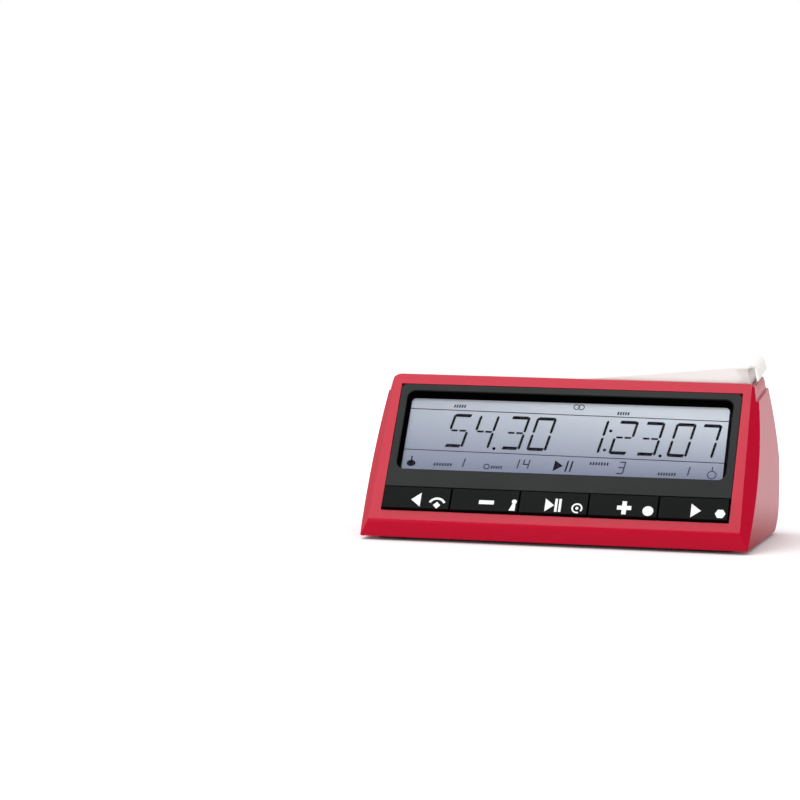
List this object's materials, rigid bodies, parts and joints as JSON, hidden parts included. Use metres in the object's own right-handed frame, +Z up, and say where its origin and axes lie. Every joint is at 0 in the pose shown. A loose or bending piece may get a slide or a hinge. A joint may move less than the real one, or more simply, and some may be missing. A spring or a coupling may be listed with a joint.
{
  "type": "digital chess clock",
  "caption": "Wedge-shaped digital chess clock with a leaning display panel, a row of push keys and a full-length V-shaped rocker on top that stops one side and starts the other.",
  "frame": {"origin": "centre of the bounding box, on the surface the feet stand on", "axes": "+X along the clock to the right of the person reading the display, +Y from the display side to the back, +Z up"},
  "size_m": [0.2226, 0.1144, 0.1041],
  "materials": {
    "red_shell": "satin gloss moulded ABS",
    "white_rocker": "satin moulded plastic",
    "grey_bezel": "fine matte dark grey",
    "clear_window": "clear polycarbonate",
    "display": "grey-blue reflective liquid crystal display",
    "black_key": "satin black",
    "black_plastic": "fine texture black",
    "rubber": "matte",
    "silicone": "matte grey silicone",
    "steel": "bright",
    "magnet": "nickel plated",
    "circuit_board": "green solder mask",
    "chip": "matte black epoxy",
    "battery_sleeve": "plain printed sleeve"
  },
  "bodies": {
    "casing": {"upper_casing": "red_shell", "rocker_pin": "steel", "bezel": "grey_bezel", "window": "clear_window", "display_glass": "display", "display_tray": "black_plastic", "contact_strip": "silicone", "key_mat": "silicone", "main_board": "circuit_board", "board_screws": "steel", "processor": "chip", "memory_chip": "chip", "crystal": "steel", "hall_sensors": "chip", "capacitors": "silicone", "base_cover": "black_plastic", "battery_front": "battery_sleeve", "battery_rear": "battery_sleeve", "battery_contacts": "steel", "battery_springs": "steel", "power_switch": "black_plastic", "power_board": "circuit_board", "jack_socket": "black_plastic", "buzzer": "black_plastic", "feet": "rubber", "case_screws": "steel"},
    "rocker": {"rocker": "white_rocker", "rocker_magnets": "magnet"},
    "key_back": {"key_back": "black_key"},
    "key_minus": {"key_minus": "black_key"},
    "key_start_stop": {"key_start_stop": "black_key"},
    "key_plus": {"key_plus": "black_key"},
    "key_forward": {"key_forward": "black_key"},
    "power_button": {"power_button": "rubber"},
    "battery_door": {"battery_door": "black_plastic"}
  },
  "joints": [
    {"name": "rocker_swing", "type": "hinge", "parent": "casing", "child": "rocker", "pos_m": [0, 0.0184, 0.08146], "axis": [0, 1, 0], "range_deg": [0, 6]},
    {"name": "key_back_press", "type": "slide", "parent": "casing", "child": "key_back", "axis": [0, 0.8241, -0.5664], "range_m": [0, 0.001], "stiffness_N_per_m": 900, "springref_m": -0.0004},
    {"name": "key_minus_press", "type": "slide", "parent": "casing", "child": "key_minus", "axis": [0, 0.8241, -0.5664], "range_m": [0, 0.001], "stiffness_N_per_m": 900, "springref_m": -0.0004},
    {"name": "key_start_stop_press", "type": "slide", "parent": "casing", "child": "key_start_stop", "axis": [0, 0.8241, -0.5664], "range_m": [0, 0.001], "stiffness_N_per_m": 900, "springref_m": -0.0004},
    {"name": "key_plus_press", "type": "slide", "parent": "casing", "child": "key_plus", "axis": [0, 0.8241, -0.5664], "range_m": [0, 0.001], "stiffness_N_per_m": 900, "springref_m": -0.0004},
    {"name": "key_forward_press", "type": "slide", "parent": "casing", "child": "key_forward", "axis": [0, 0.8241, -0.5664], "range_m": [0, 0.001], "stiffness_N_per_m": 900, "springref_m": -0.0004},
    {"name": "power_button_press", "type": "slide", "parent": "casing", "child": "power_button", "axis": [0, 0, 1], "range_m": [0, 0.001], "stiffness_N_per_m": 900, "springref_m": -0.0004},
    {"name": "battery_door_slide", "type": "slide", "parent": "casing", "child": "battery_door", "axis": [0, 1, 0], "range_m": [0, 0.03]}
  ]
}
